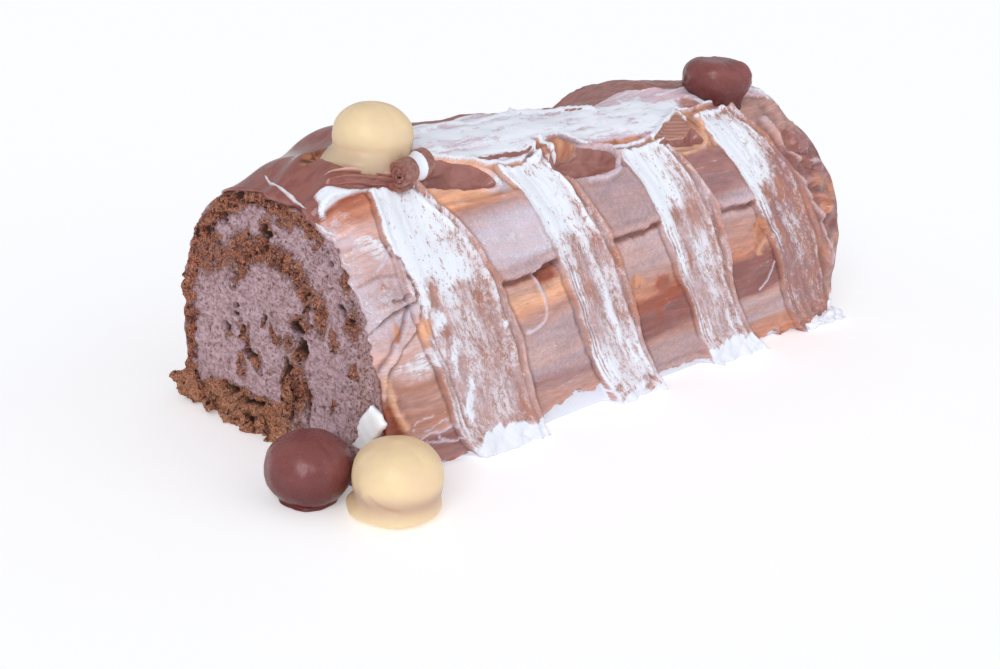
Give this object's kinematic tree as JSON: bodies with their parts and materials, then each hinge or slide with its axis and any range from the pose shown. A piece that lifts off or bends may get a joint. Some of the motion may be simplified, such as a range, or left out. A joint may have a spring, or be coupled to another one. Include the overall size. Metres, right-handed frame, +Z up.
{
  "type": "roll cake",
  "caption": "Chocolate roll cake: sponge rolled round mousse, coated in marbled icing pulled down in broad knife strokes, cut at the ends, with round dipped bonbons on top and at its foot.",
  "frame": {"origin": "middle of the roll's flat underside, on the surface it stands on", "axes": "+X along the roll, with the shown cut face at -X; -Y towards the shown side; +Z up"},
  "size_m": [0.2804, 0.1332, 0.1096],
  "materials": {
    "sponge": "coarse moist chocolate sponge crumb with dark pores",
    "mousse": "soft matt milk chocolate mousse, mauve-brown, with small holes",
    "icing": "white cream and milk chocolate icing swiped together, satin, glossy where the chocolate is thick",
    "caramel_coating": "smooth pale caramel coating, satin",
    "milk_coating": "milk chocolate coating, satin, slightly uneven"
  },
  "bodies": {
    "root": {"sponge": "sponge", "mousse": "mousse", "icing": "icing", "bonbon_caramel_top": "caramel_coating", "bonbon_milk_top": "milk_coating", "bonbon_milk_foot": "milk_coating", "bonbon_caramel_foot": "caramel_coating"}
  },
  "joints": []
}
